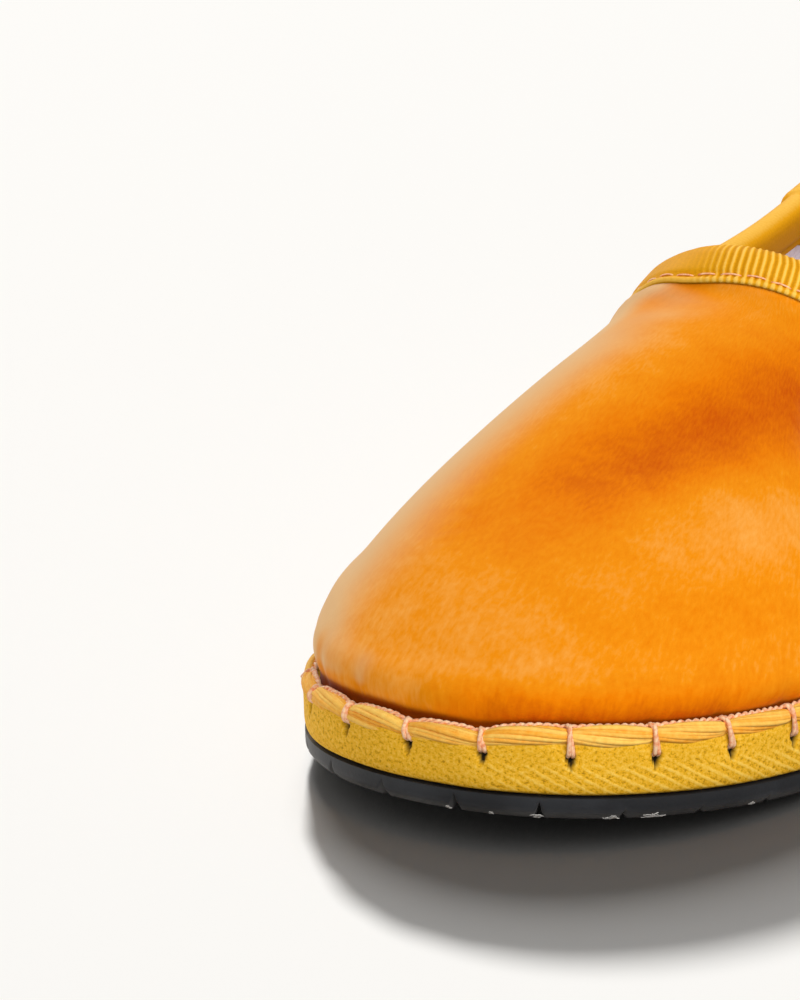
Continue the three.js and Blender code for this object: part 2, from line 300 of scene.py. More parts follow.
# faces of a grid whose columns run round the shoe: the last row joins the first again,
# or strips close the first and the last row from side to side
def ringFaces(rows, columns, joined):
    r = np.arange(rows if joined else rows - 1)[:, None]
    i = np.arange(columns)[None]
    here, there = r * columns, (r + 1) % rows * columns
    after = (i + 1) % columns
    faces = np.stack((here + i, here + after, there + after, there + i), -1).reshape(-1, 4).tolist()
    if not joined:
        half = columns // 2
        k = np.arange(1, half - 1)
        top = (rows - 1) * columns
        lid = np.stack((columns - k, k, k + 1, columns - k - 1), -1)
        faces += (lid + top).tolist() + lid[:, ::-1].tolist()
        ends = np.array([[0, 1, columns - 1], [half + 1, half - 1, half]])
        faces += (ends + top).tolist() + ends[:, ::-1].tolist()
    return faces


# tubes along many paths at once, paths (tubes, samples, 3): rings of points at a radius
# in the plane of guide and of its cross product with the way along; first is the first point's number
def tubeMesh(paths, radius, sides, guide, closed=False, first=0):
    if closed:
        forward = np.roll(paths, -1, axis=1) - np.roll(paths, 1, axis=1)
    else:
        forward = np.gradient(paths, axis=1)
    forward = unit(forward)
    across = unit(guide - (guide * forward).sum(-1, keepdims=True) * forward)
    other = np.cross(forward, across)
    angle = 2 * np.pi * np.arange(sides) / sides
    wheel = across[:, :, None] * np.cos(angle)[:, None] + other[:, :, None] * np.sin(angle)[:, None]
    radius = np.broadcast_to(radius, paths.shape[:2])[:, :, None, None]
    points = paths[:, :, None] + radius * wheel
    count, samples = paths.shape[:2]
    base = first + (np.arange(count) * samples * sides)[:, None, None]
    j = np.arange(samples if closed else samples - 1)[None, :, None]
    a = np.arange(sides)[None, None]
    here, there = base + j * sides, base + (j + 1) % samples * sides
    after = (a + 1) % sides
    faces = np.stack((here + a, here + after, there + after, there + a), -1).reshape(-1, 4).tolist()
    if not closed:
        start = base[:, 0] + a[0]
        faces += start[:, ::-1].tolist() + (start + (samples - 1) * sides).tolist()
    return points.reshape(-1, 3), faces


# tubes at the sole's edge, their paths given by loop parameter, inset and height over the lifted floor
def edgeTubes(s, inset, height, radius, sides, closed=False, first=0):
    paths = edgePoint(s, inset, height)
    guide = outwardAt(np.broadcast_to(s, paths.shape[:-1]))
    radius = np.broadcast_to(radius, paths.shape[:-1])
    flat = (-1, paths.shape[-2], 3)
    return tubeMesh(paths.reshape(flat), radius.reshape(flat[:2]), sides, guide.reshape(flat), closed, first)


# a finished piece: mesh in metres, its material, and what it rides on and replaces; slot, what it is made of,
# is not used
def makePiece(name, points, faces, material, slot, replaced=None, uv=None, marks=None, sharp=None):
    mesh = bpy.data.meshes.new(name)
    mesh.from_pydata((points.reshape(-1, 3) * mm).tolist(), [], faces)
    mesh.shade_smooth()
    if sharp is not None:
        mesh.set_sharp_from_angle(angle=np.radians(sharp))
    if uv is not None:
        corners = np.empty(len(mesh.loops), np.int32)
        mesh.loops.foreach_get("vertex_index", corners)
        flat = uv.reshape(-1, 2)[corners]
        width = flat[:, 0].max()
        # a face that closes the loop goes on past the full width
        quads = flat[: len(flat) // 4 * 4].reshape(-1, 4, 2)
        wraps = quads[:, :, 0].max(1) - quads[:, :, 0].min(1) > width / 2
        quads[wraps, :, 0] += np.where(quads[wraps, :, 0] < width / 2, width, 0)
        layer = mesh.uv_layers.new(name="cloth")
        layer.data.foreach_set("uv", (flat * mm).astype(np.float32).ravel())
    for mark, values in (marks or {}).items():
        attribute = mesh.attributes.new(mark, "FLOAT", "POINT")
        values = np.broadcast_to(values, points.shape[:-1])
        attribute.data.foreach_set("value", values.astype(np.float32).ravel())
    mesh.materials.append(material)
    piece = bpy.data.objects.new(name, mesh)
    bpy.context.scene.collection.objects.link(piece)
    piece.visible_diffuse = name not in ("upper_velvet", "tape_wrap")  # these throw no colour on the floor
    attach(piece, "root")
    if replaced:
        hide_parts(replaced)
    mesh.calc_loop_triangles()
    print(f"{name}: {len(mesh.loop_triangles)} triangles")


def makeRing(name, grid, joined, *made, **extras):
    makePiece(name, grid, ringFaces(*grid.shape[:2], joined), *made, **extras)


# sRGB hex to linear RGBA
def colour(code):
    srgb = np.array([int(code[i : i + 2], 16) for i in (0, 2, 4)]) / 255
    linear = np.where(srgb <= 0.04045, srgb / 12.92, ((srgb + 0.055) / 1.055) ** 2.4)
    return (*linear.tolist(), 1.0)


# adds one node and gives back one of its outputs: each input by name or number, from a value or another
# output, the stops of a colour ramp as position and hex, and any other settings by name
def addNode(tree, kind, inputs, give=0, stops=None, **settings):
    node = tree.nodes.new("ShaderNode" + kind)
    for name, value in settings.items():
        setattr(node, name, value)
    for name, value in inputs.items():
        if isinstance(value, bpy.types.NodeSocket):
            tree.links.new(value, node.inputs[name])
        else:
            node.inputs[name].default_value = value
    if stops:
        marks = node.color_ramp.elements
        for position, code in stops[1:-1]:
            marks.new(position).color = colour(code)
        for end in (0, -1):
            marks[end].position, marks[end].color = stops[end][0], colour(stops[end][1])
    return node.outputs[give]


# a material and what adds a node to it: roughness and specular level, which are a look's shine,
# and any other constant sockets are set on its Principled shader
def startMaterial(name, roughness, specular, sockets=None):
    material = bpy.data.materials.new(name)
    material.use_nodes = True
    shader = material.node_tree.nodes["Principled BSDF"]
    for socket, value in {"Roughness": roughness, "Specular IOR Level": specular, **(sockets or {})}.items():
        shader.inputs[socket].default_value = value
    return material, partial(addNode, material.node_tree)


# gives the shader its tint and, from a height, a bump of a strength and a depth in mm, a look's bump
def dress(material, tint, height=None, strength=0.0, depth=0.0):
    tree = material.node_tree
    shader = tree.nodes["Principled BSDF"]
    tree.links.new(tint, shader.inputs["Base Color"])
    if height is not None:
        bump = addNode(tree, "Bump", {"Height": height, "Strength": strength, "Distance": depth * mm})
        tree.links.new(bump, shader.inputs["Normal"])
    return material


# noise features of a size in mm, on coordinates in metres
def perMetre(size):
    return 1 / (size * mm)


# cotton velvet, cut pile on a woven back: saturated orange, a painted pale sheen where it is seen edge on, a
# fine speckle drawn out along the nap, paler streaks of brushed pile near the tape, painted shade in the
# folds, above the tape and along the outer side, and painted shadow where it is tucked behind the thread
# and where it is tucked behind the thread
velvetLook = {
    "stops": [(0.0, "c65000"), (0.35, "e67a00"), (0.58, "ee8e0e"), (0.85, "f4a84c")],  # from the painted shade of a fold to the tips
    # colour of the painted shadow on the tucked pile, and colour of the painted sheen
    "paintedShadowColour": "903c00", "paintedSheen": "e8be88",
    "paintedSheenFacing": (0.5, 0.86),  # facing over which the painted sheen grows, from face on (0) to edge on (1)
    "paintedSheenShare": 0.9, "speckle": 1.0, "speckleShare": 0.34,
    "nap": 0.6,  # speckle's width over its length
    "brush": 7.0, "brushShare": 0.36, "streak": 1.2, "streakLength": 3.2, "streakShare": 0.26,
    "streakHeight": (6.0, 34.0),  # the brushed pile fades out over this height
    "level": 0.19, "paintedShadowGain": 1.35, "paintedShadowLevel": -0.45,
    "fringe": 0.9,  # of the streaks in the painted shadow's ragged edge
    "bump": (0.25, 0.3), "shine": (0.95, 0.05),
}


def velvetMaterial():
    look = velvetLook
    sheen = {"Sheen Weight": 0.1, "Sheen Roughness": 0.25}
    material, add = startMaterial("cotton_velvet", *look["shine"], sheen)
    place = add("TexCoord", {}, "Object")
    cloth = add("UVMap", {}, uv_map="cloth")
    marks = ("fold", "paler", "tuck")
    fold, paler, tuck = (add("Attribute", {}, "Fac", attribute_name=mark) for mark in marks)
    drawn = add("VectorMath", {0: cloth, 1: (1, look["nap"], 1)}, operation="MULTIPLY")
    inputs = {"Vector": drawn, "Scale": perMetre(look["speckle"]), "Detail": 2.0, "Roughness": 0.6}
    speckle = add("TexNoise", inputs)
    inputs = {"Vector": place, "Scale": perMetre(look["brush"]), "Detail": 3.0, "Roughness": 0.6}
    brush = add("TexNoise", inputs)
    stretch = (1, look["streak"] / look["streakLength"], 1)
    drawn = add("VectorMath", {0: cloth, 1: stretch}, operation="MULTIPLY")
    streaks = add("TexNoise", {"Vector": drawn, "Scale": perMetre(look["streak"]), "Detail": 2.0})
    height = add("SeparateXYZ", {0: cloth}, "Y")
    low, high = look["streakHeight"]
    brushed = add("MapRange", {"Value": height, 1: low * mm, 2: high * mm, 3: look["streakShare"], 4: 0.0})
    # the pile's tone: speckle, brush and streaks on top of the painted shade of the folds
    lay = fold
    for pattern, share in ((speckle, look["speckleShare"]), (brush, look["brushShare"]), (streaks, brushed)):
        lay = add("Math", {0: pattern, 1: share, 2: lay}, operation="MULTIPLY_ADD")
    lay = add("Math", {0: lay, 1: look["level"]}, operation="ADD")
    pile = add("ValToRGB", {"Fac": lay}, stops=look["stops"])
    # painted sheen: the pile is mixed towards a pale colour where it is seen edge on
    edgeOn = add("LayerWeight", {"Blend": 0.5}, "Facing")
    edgeOn = add("Math", {0: edgeOn, 1: paler}, operation="ADD")
    low, high = look["paintedSheenFacing"]
    inputs = {"Value": edgeOn, 1: low, 2: high, 3: 0.0, 4: look["paintedSheenShare"]}
    edgeOn = add("MapRange", inputs, interpolation_type="SMOOTHSTEP")
    pile = add("Mix", {0: edgeOn, 6: pile, 7: colour(look["paintedSheen"])}, 2, data_type="RGBA")
    # the painted shadow of the tucked edge has a ragged fringe: the streaks break it up
    fringe = add("Math", {0: streaks, 1: look["fringe"]}, operation="MULTIPLY")
    inputs = {0: tuck, 1: look["paintedShadowGain"], 2: look["paintedShadowLevel"]}
    paintedShadowShare = add("Math", inputs, operation="MULTIPLY_ADD")
    paintedShadowShare = add("Math", {0: paintedShadowShare, 1: fringe}, operation="ADD", use_clamp=True)
    paintedShadowShare = add("Math", {0: paintedShadowShare, 1: tuck}, operation="MULTIPLY")
    pile = add("Mix", {0: paintedShadowShare, 6: pile, 7: colour(look["paintedShadowColour"])}, 2, data_type="RGBA")
    return dress(material, pile, speckle, *look["bump"])


# cotton twill tape: golden and matt, a granular weave with small dark gaps between the yarns,
# faint diagonal ribs that show in places on its lower half, and painted shade in the needle holes
tapeLook = {
    "stops": [(0.28, "b68412"), (0.46, "f2b41c"), (0.78, "ffd058")],  # from a gap to the top of a yarn
    # near-black painted shade for the needle holes
    "hole": "120c04", "ribPitch": 1.35, "ribAngle": 62.0, "ribsBelow": 5.8, "ribsFade": 1.5,
    "ribShare": 0.26, "ribFrom": 0.1, "ribValley": -0.15,
    "wander": 14.0,  # length over which the ribs stray, and how far in radians
    "stray": 6.0, "yarn": 0.62, "bump": (0.35, 0.3), "shine": (0.85, 0.2),
}


def tapeMaterial():
    look = tapeLook
    material, add = startMaterial("cotton_twill_tape", *look["shine"])
    cloth = add("UVMap", {}, uv_map="cloth")
    along, up = (add("SeparateXYZ", {0: cloth}, axis) for axis in "XY")
    ribbed, paintedHoleShade = (add("Attribute", {}, "Fac", attribute_name=mark) for mark in ("ribbed", "paintedHoleShade"))
    angle = np.radians(look["ribAngle"])
    turns = 2 * np.pi * perMetre(look["ribPitch"])
    wander = add("TexNoise", {"Vector": cloth, "Scale": perMetre(look["wander"]), "Detail": 2.0})
    phase = add("Math", {0: along, 1: np.cos(angle) * turns}, operation="MULTIPLY")
    for part, share in ((up, np.sin(angle) * turns), (wander, look["stray"])):
        phase = add("Math", {0: part, 1: share, 2: phase}, operation="MULTIPLY_ADD")
    ribs = add("Math", {0: phase}, operation="SINE")
    inputs = {"Value": ribs, 1: look["ribFrom"], 2: 1.0, 3: look["ribValley"], 4: 1.0}
    ribs = add("MapRange", inputs)  # thin raised lines
    top = look["ribsBelow"]
    inputs = {"Value": up, 1: top * mm, 2: (top - look["ribsFade"]) * mm, 3: 0.0, 4: look["ribShare"]}
    shown = add("Math", {0: add("MapRange", inputs), 1: ribbed}, operation="MULTIPLY")
    inputs = {"Vector": cloth, "Scale": perMetre(look["yarn"]), "Detail": 2.0, "Roughness": 0.7}
    yarns = add("TexNoise", inputs)
    height = add("Math", {0: ribs, 1: shown, 2: yarns}, operation="MULTIPLY_ADD")
    shade = add("ValToRGB", {"Fac": height}, stops=look["stops"])
    shade = add("Mix", {0: paintedHoleShade, 6: shade, 7: colour(look["hole"])}, 2, data_type="RGBA")
    return dress(material, shade, height, *look["bump"])


# moulded black rubber: matt, a little blue, with a fine mould grain and greyer rubbed patches,
# and paler along its lower edge, partly dust and partly painted light on the bevel that faces down into shade
rubberLook = {
    "stops": [(0.45, "222326"), (0.8, "36383c")], "dustAndLightTone": "8a8784", "grain": 0.5, "patch": 9.0,
    "bump": (0.25, 0.2), "shine": (0.55, 0.4),
}


def rubberMaterial():
    look = rubberLook
    material, add = startMaterial("moulded_rubber", *look["shine"])
    place = add("TexCoord", {}, "Object")
    patch = add("TexNoise", {"Vector": place, "Scale": perMetre(look["patch"]), "Detail": 5.0})
    shade = add("ValToRGB", {"Fac": patch}, stops=look["stops"])
    # paler edge: partly dust, partly painted light
    dustAndPaintedLight = add("Attribute", {}, "Fac", attribute_name="dustAndPaintedLight")
    dustAndLightShare = add("Math", {0: dustAndPaintedLight, 1: patch}, operation="MULTIPLY")
    shade = add("Mix", {0: dustAndLightShare, 6: shade, 7: colour(look["dustAndLightTone"])}, 2, data_type="RGBA")
    grain = add("TexNoise", {"Vector": place, "Scale": perMetre(look["grain"]), "Detail": 2.0})
    return dress(material, shade, grain, *look["bump"])


fibreLooks = {
    # plain lining: matt lilac grey with a small over-and-under weave
    "cotton_lining": {
        "stops": [(0.3, "dcd0d8"), (0.7, "f2eaee")], "fibre": 0.9, "bump": (0.4, 0.2), "shine": (0.9, 0.2)
    },
    # loose yarn of the tape's rolled edge: brighter than the woven face, each strand its own tone
    "cotton_yarn": {
        "stops": [(0.2, "f49a10"), (0.85, "ffd066")], "fibre": 0.8, "mark": "tone", "share": 0.6,
        "shine": (0.75, 0.2)
    },
    # two-ply sewing thread: salmon, with pale glints along the plies
    "waxed_thread": {"stops": [(0.3, "f09460"), (0.62, "ffd2a8")], "fibre": 0.6, "shine": (0.5, 0.3)},
    # rayon ribbon: golden with a soft gloss, with painted highlight on the ribs and painted shade between
    # them
    "grosgrain_ribbon": {
        "stops": [(0.12, "cc8800"), (0.55, "eea60e"), (1.0, "ffca58")], "fibre": 0.4, "mark": "rib",
        "share": 0.3, "bump": (0.25, 0.15), "shine": (0.65, 0.1)
    },
}


# fine fibres from light to dark, on top of a mark of the mesh where there is one
def fibreMaterial(name):
    look = fibreLooks[name]
    material, add = startMaterial(name, *look["shine"])
    place = add("TexCoord", {}, "Object")
    fibres = tone = add("TexNoise", {"Vector": place, "Scale": perMetre(look["fibre"]), "Detail": 2.0})
    if "mark" in look:
        mark = add("Attribute", {}, "Fac", attribute_name=look["mark"])
        tone = add("Math", {0: fibres, 1: look["share"], 2: mark}, operation="MULTIPLY_ADD")
    shade = add("ValToRGB", {"Fac": tone}, stops=look["stops"])
    return dress(material, shade, fibres, *look["bump"]) if "bump" in look else dress(material, shade)


velvet, tapeCloth, rubber = velvetMaterial(), tapeMaterial(), rubberMaterial()
lining, yarn, thread, grosgrain = (fibreMaterial(name) for name in fibreLooks)
print("materials ready")


# sum of terms, each a gain times its factors: a bell or a ramp of one measure,
# or with a fifth number what is left when that share of it is taken off
def sumOf(terms, **measures):
    total = 0
    for term, *factors in terms:
        for measure, shape, a, b, *share in factors:
            value = shape(measures[measure], a, b)
            term = term * (1 - share[0] * value if share else value)
        total = total + term
    return total


# blanket stitches round the sole: even pitch with a little unevenness of the hand
stitches = {"count": 46, "first": 0.34, "unevenness": 0.03, "slant": 0.55, "slants": (0.3, 1.5), "seed": 11}
hand = np.random.default_rng(stitches["seed"])
stitchShift = hand.uniform(-1, 1, stitches["count"]) * stitches["unevenness"]
stitchSlant = stitches["slant"] * hand.uniform(*stitches["slants"], stitches["count"])
stitchPitch = soleRun / stitches["count"]
stitchPlace = (np.arange(stitches["count"]) + stitches["first"] + stitchShift) / stitches["count"]


# signed way in mm from the nearest stitch, and which stitch that is
def fromStitch(s):
    turn = s * stitches["count"] - stitches["first"]
    nearest = np.round(turn).astype(int)
    which = nearest % stitches["count"]
    return (turn - nearest - stitchShift[which]) * stitchPitch, which


# the sewn edge sags on the toe's inner side: deepest by the big toe, and at each stitch a third further
bigToe = ("place", bell, -0.095, 0.035, -0.875)
sagEnds = (("place", ramp, 0.024, 0), ("place", ramp, -0.2, -0.12))
sewnSag = [(1.2, bigToe, *sagEnds, ("stitch", bell, 0, 2.2, -1 / 3))]


def sag(s):
    return sumOf(sewnSag, place=aroundToe(s), stitch=fromStitch(s)[0])


# soft troughs (-) and ridges (+) of the velvet, each along a bow of three places (x, from toe tip) in mm,
# with its depth at each place
vampFolds = [
    {"through": [(-12, 23), (6, 50), (25, 92)], "depth": [0.2, -1.6, -2.1], "width": 11.0},
    {"through": [(8, 26), (24, 50), (35, 84)], "depth": [0.1, 0.9, 0.5], "width": 11.0},
    {"through": [(-18, 46), (-6, 70), (8, 98)], "depth": [0.1, 0.5, 0.3], "width": 11.0},
    {"through": [(-34, 70), (-30, 90), (-26, 112)], "depth": [-0.2, -0.7, -0.3], "width": 7.0},
    {"through": [(36, 150), (35, 165), (33, 185)], "depth": [-0.2, -0.5, -0.2], "width": 8.0},
    {"through": [(-34, 150), (-33, 168), (-31, 190)], "depth": [-0.2, -0.5, -0.2], "width": 8.0},
]


# sum of the folds: a bell of the plan distance to a quadratic bow, as deep as the bow's nearest place
def foldRelief(points):
    plan = np.stack((points[..., 0], alongShoe(points)), -1)
    relief = np.zeros(points.shape[:-1])
    turn = np.linspace(0, 1, 41)
    q, t = 1 - turn[:, None], turn[:, None]
    for fold in vampFolds:
        a, b, c = np.array(fold["through"], float)
        b = 2 * b - (a + c) / 2
        away = np.linalg.norm(plan[..., None, :] - (q**2 * a + 2 * q * t * b + t**2 * c), axis=-1)
        depth = np.interp(turn[away.argmin(-1)], [0, 0.5, 1], fold["depth"])
        relief += depth * bell(away.min(-1), 0, fold["width"])
    return relief


upperShell = {
    "columns": 600, "outerRows": 112, "innerRows": 44,
    "rowEase": 1.3,  # rows lie closer near the tape
    "velvet": 1.1,  # thickness of pile and backing
    "gap": 0.1,  # between backing and lining
    "foldFoot": (3, 16),  # the folds grow over this height
    "foldRim": (6, 14),  # and start this far below the collar edge
    "paintedFoldShade": 0.25,  # painted shade, lighter on a ridge and darker in a trough, for each mm
    "sagTop": 4,  # the sag ends at this height
    "shadow": [(0.9,), (0.6, ("place", bell, -0.03, 0.035))],  # height that gets painted shadow behind the thread
    "shadowFade": 1.2,
}
lowByToe = ("place", bell, -0.115, 0.055)
vampFront = ("place", bell, 0.04, 0.12)
outerFront = (("place", ramp, 0.02, -0.02, 0.95), ("place", ramp, 0.055, 0.095, 0.5))
ribbonCorner = (("below", bell, 9, 4), ("place", bell, -0.085, 0.06))  # under the ribbon's left end
velvetTerms = {
    # out from the last in mm: swell above the tape, tuck behind the thread, pucker at a stitch, heel seam,
    # brim below the ribbon, pile that fills the vamp's dip, what it takes from behind, fuller by the big toe
    "push": [
        (0.9, ("height", bell, 5.2, 2.9), ("stitch", bell, 0, 3, 0.3), (*lowByToe, 0.65)),
        (-0.9, ("height", bell, 0.9, 1.4), ("depth", ramp, 0, upperShell["velvet"], 0.6)),
        (-0.35, ("height", bell, 1.8, 2.2), ("stitch", bell, 0, 1.8)),
        (-0.5, ("seam", bell, 0, 1.2)),
        (1.0, ("below", bell, 9.5, 3.5), ("place", bell, -0.14, 0.06)),
        (0.5, ("below", bell, 10, 4), vampFront),
        (-0.7, ("below", bell, 22, 8), vampFront),
        (0.85, ("height", bell, 10.3, 4), lowByToe),
    ],
    # painted shade on the pile: above the tape on the outer front, all along the outer side, and under the
    # ribbon's left end
    "fold": [
        (-0.55, ("height", ramp, 9.5, 0.5), *outerFront),
        (-0.16, ("height", bell, 17, 10), ("place", ramp, 0.01, 0.07)),
        (-0.12, *ribbonCorner),
    ],
    # painted shadow under the ribbon's left end
    "tuck": [(0.4, *ribbonCorner)],
    # painted sheen: none where it is tucked into painted shadow, more low on the toe's inner side, less in
    # front of the throat
    "paler": [
        (-0.4, ("height", ramp, 3.5, 1.5)),
        (0.17, *ribbonCorner),
        (0.22, ("height", bell, 5, 3), ("place", bell, -0.036, 0.026)),
        (0.12, ("height", bell, 9, 4), ("place", bell, -0.066, 0.022)),
        (-0.2, ("height", bell, 4.5, 3), ("place", bell, -0.055, 0.014)),
        (-0.09, ("below", bell, 12, 4), ("place", bell, -0.03, 0.03)),
        (-0.12, ("below", bell, 19, 7), ("place", bell, 0, 0.1)),
    ],
}


# one layer of the upper, the marks of painted shade, painted shadow and painted sheen on its pile, and the
# height
# of each point up the wall: the last moved along its normal by the folds, by the terms above and back by a
# depth, its foot let down by the sag
def upperLayer(s, rows, depth):
    shell = upperShell
    t = np.linspace(0, 1, rows)[:, None] ** shell["rowEase"]
    points = lastPoint(s, t)
    height = runAlong(points)
    at = {"height": height, "below": height[-1] - height, "place": aroundToe(s), "depth": depth}
    at["stitch"], at["seam"] = fromStitch(s)[0], (s - 0.5) * soleRun
    fold = foldRelief(points) * ramp(height, *shell["foldFoot"])
    push = fold * ramp(at["below"], *shell["foldRim"]) + sumOf(velvetTerms["push"], **at)
    points = points + (push - depth)[..., None] * lastFrame(s, t)[0]
    points[..., 2] -= sag(s) * (1 - ramp(height, 0, shell["sagTop"]))
    marks = {mark: sumOf(velvetTerms[mark], **at) for mark in ("fold", "tuck", "paler")}
    marks["fold"] += shell["paintedFoldShade"] * fold
    # painted shadow on the pile behind the thread, up to a height that changes round the toe
    shadow = sumOf(shell["shadow"], **at)
    marks["tuck"] += 1 - ramp(height, shadow, shadow + shell["shadowFade"])
    return points, marks, height


def upperSheet(name, columns, rows, front, back, material, slot):
    s = np.arange(columns) / columns
    outside = upperLayer(s, rows, front)
    inside = upperLayer(s, upperShell["innerRows"], back)
    grid, height = (np.concatenate((outside[k], inside[k][::-1])) for k in (0, 2))
    marks = {mark: np.concatenate((outside[1][mark], inside[1][mark][::-1])) for mark in outside[1]}
    uv = np.stack(np.broadcast_arrays(s * soleRun, height), -1)
    makeRing(name, grid, True, material, slot, "upper", uv=uv, marks=marks)


def buildUpper():
    shell = upperShell
    columns, rows = shell["columns"], shell["innerRows"]
    upperSheet("upper_velvet", columns, shell["outerRows"], 0, shell["velvet"], velvet, "velvet")
    front = shell["velvet"] + shell["gap"]
    upperSheet("upper_lining", columns // 2, rows, front, last["wall"], lining, "lining")


buildUpper()

tapeWrap = {
    "columnsPerStitch": 36, "rows": 42,
    "swell": [(0.2, ("above", ramp, 4.5, 9), ("stitch", bell, 0, 1.7, 3))],  # drawn in at a stitch
    "waver": [(0.12, ("above", bell, 3, 3))],  # of its lower half: waves round the shoe, and how they drift
    "waves": 31, "drifts": 7, "drift": 1.3, "sagging": (5, 9.5),
    "ribbed": [(1, ("place", bell, -0.03, 0.045, 1))],  # worn smooth on the toe's inner side
    "holeHeight": 5.75, "holeWidth": 1.25, "holeLength": 1.7, "holeDepth": 0.9, "holeRim": 0.12,
    "holeTop": (-1.0, -0.5), "holeWidest": 1.2,
}
# section of the wrapped midsole: inset from the outline and height over the rubber
tapeSection = {
    "at": [0, 1, 2, 3, 4, 5, 6, 7, 8],
    "inset": [1.1, 0.35, 0.05, 0, 0.05, 0.3, 0.85, 1.25, 1.4],
    "above": [0.3, 0.8, 2.2, 4.5, 7.2, 8.7, 9.5, 9.3, 9.0],
}


# the section carried round the outline, pushed out by swells and waves and in by needle holes
def buildTape():
    wrap = tapeWrap
    columns = stitches["count"] * wrap["columnsPerStitch"]
    s = np.arange(columns) / columns
    row = np.linspace(0, tapeSection["at"][-1], wrap["rows"])[:, None]
    inset, above = (curveThrough(tapeSection, name, row) for name in ("inset", "above"))
    away, which = fromStitch(s)
    turn = 2 * np.pi * s
    wave = np.sin(wrap["waves"] * turn + wrap["drift"] * np.sin(wrap["drifts"] * turn))
    push = sumOf(wrap["swell"], above=above, stitch=away) + wave * sumOf(wrap["waver"], above=above)
    # needle hole: a wedge, wide at the top and pointed below
    below = wrap["holeHeight"] - above
    half = wrap["holeWidth"] / 2 * np.clip(1 - below / wrap["holeLength"], 0, wrap["holeWidest"])
    inside = half - np.abs(away - stitchSlant[which])
    hole = ramp(inside, -wrap["holeRim"], wrap["holeRim"]) * ramp(below, *wrap["holeTop"]) * (half > 0)
    push = push - wrap["holeDepth"] * hole
    grid = edgePoint(s, inset - push, last["rubber"] + above - sag(s) * ramp(above, *wrap["sagging"]))
    uv = np.stack(np.broadcast_arrays(s * soleRun, runAlong(np.stack((inset, above), -1))), -1)
    marks = {"paintedHoleShade": hole, "ribbed": sumOf(wrap["ribbed"], place=aroundToe(s))}
    makeRing("tape_wrap", grid, False, tapeCloth, "tape", "midsole", uv=uv, marks=marks)


buildTape()

edgeRoll = {
    "strands": 10, "samples": 19, "sides": 6, "inset": 0.85,
    "insetMore": 0.25,  # at a stitch
    "above": 9.1,
    "wide": 0.35,  # half width of the bundle at a stitch, and its swell between two, less by the big toe
    "wideSwell": [(0.62, ("place", bell, -0.085, 0.025, 0.6))],
    "tall": 0.5, "tallSwell": 0.62, "strand": 0.4, "twist": 70.0, "from": -90.0, "to": 185.0,
    "loose": {"degrees": 6, "bow": 0.12, "strand": 0.25},  # how much one strand differs from the next
    "tones": (0.08, 0.46),
}


# strands between one stitch and the next: round an oval bundle that swells in the middle,
# sweeping down as they go
def buildEdgeRoll():
    roll, loosely = edgeRoll, edgeRoll["loose"]
    start = stitchPlace[:, None, None]
    stop = np.append(stitchPlace[1:], stitchPlace[0] + 1)[:, None, None]
    f = np.linspace(0, 1, roll["samples"])
    s = start + (stop - start) * f
    swell = np.sin(np.pi * f) ** 0.5
    lines = np.linspace(roll["from"], roll["to"], roll["strands"])[:, None]
    loose = hand.uniform(-1, 1, (stitches["count"], roll["strands"], 1))
    angle = np.radians(lines - roll["twist"] * (f - 0.5) + loosely["degrees"] * loose)
    slack = 1 + loosely["bow"] * loose * swell
    wide = roll["wide"] + swell * sumOf(roll["wideSwell"], place=aroundToe(s))
    tall = roll["tall"] + swell * roll["tallSwell"]
    inset = roll["inset"] + roll["insetMore"] * (1 - swell) - slack * wide * np.cos(angle)
    height = last["rubber"] + roll["above"] - sag(s) + slack * tall * np.sin(angle)
    radius = roll["strand"] * (1 + loosely["strand"] * loose)
    points, faces = edgeTubes(s, inset, height, radius, roll["sides"])
    tone = hand.uniform(*roll["tones"], stitches["count"] * roll["strands"])
    tone = np.repeat(tone, roll["samples"] * roll["sides"])
    makePiece("tape_edge_roll", points, faces, yarn, "tape", marks={"tone": tone})


buildEdgeRoll()

blanketStitch = {
    "runPly": 0.27, "runTwist": 2.6,
    "runSpread": 0.9,  # way of a ply from the thread's middle, over its radius
    "legPly": 0.34, "legTwist": 14.0, "legSpread": 0.95, "legFlat": 0.6,
    "legTurns": [0.1, 0.6],  # where round the leg its two plies start
    "legSlant": (0.1, 1), "runSamples": 1840, "legSamples": 26, "sides": 7, "inset": 1.72,
    "above": 10.3,
    "dip": 0.25,  # down at a stitch, and in, or out where the edge sags
    "pull": 0.2, "pullSag": 0.3, "pullReach": 2,
}
# a leg runs from the running thread over the roll and down into its needle hole
legSection = {
    "at": [0, 1, 2, 3, 4, 5, 6],
    "inset": [1.7, 1.1, 0.5, 0.1, 0.0, 0.05, 0.7],
    "above": [10.3, 10.6, 10.1, 9.0, 7.8, 6.8, 6.2],
}


